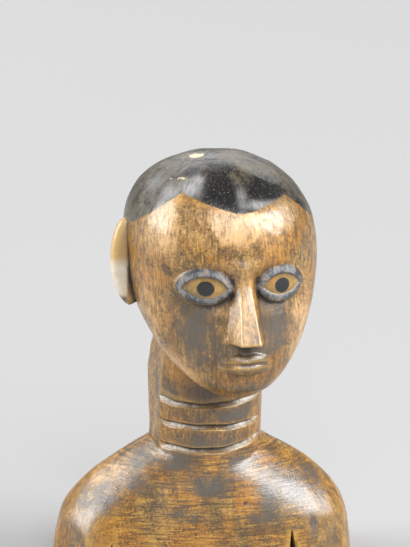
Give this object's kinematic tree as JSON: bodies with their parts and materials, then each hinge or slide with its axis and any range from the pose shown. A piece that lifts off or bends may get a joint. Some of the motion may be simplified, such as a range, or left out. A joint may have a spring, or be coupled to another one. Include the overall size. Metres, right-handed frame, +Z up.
{
  "type": "carved twin figure bust",
  "caption": "Bust of a carved wooden twin figure: egg-shaped head turned a little to its left, leaf-shaped ears, ringed neck and sloping shoulders, cut flat below to stand on.",
  "frame": {"origin": "middle of the flat underside, straight below the axis of the neck", "axes": "+Z up through the neck, -Y the way the chest faces, +X the figure's own left hand; the head is turned 7 degrees towards +X"},
  "size_m": [0.0632, 0.0474, 0.088],
  "materials": {
    "wood": "oiled and handled light hardwood with a satin sheen, brown-black patina, and worn black paint on the hair, lids and pupils"
  },
  "bodies": {
    "root": {"carved_bust": "wood"}
  },
  "joints": []
}
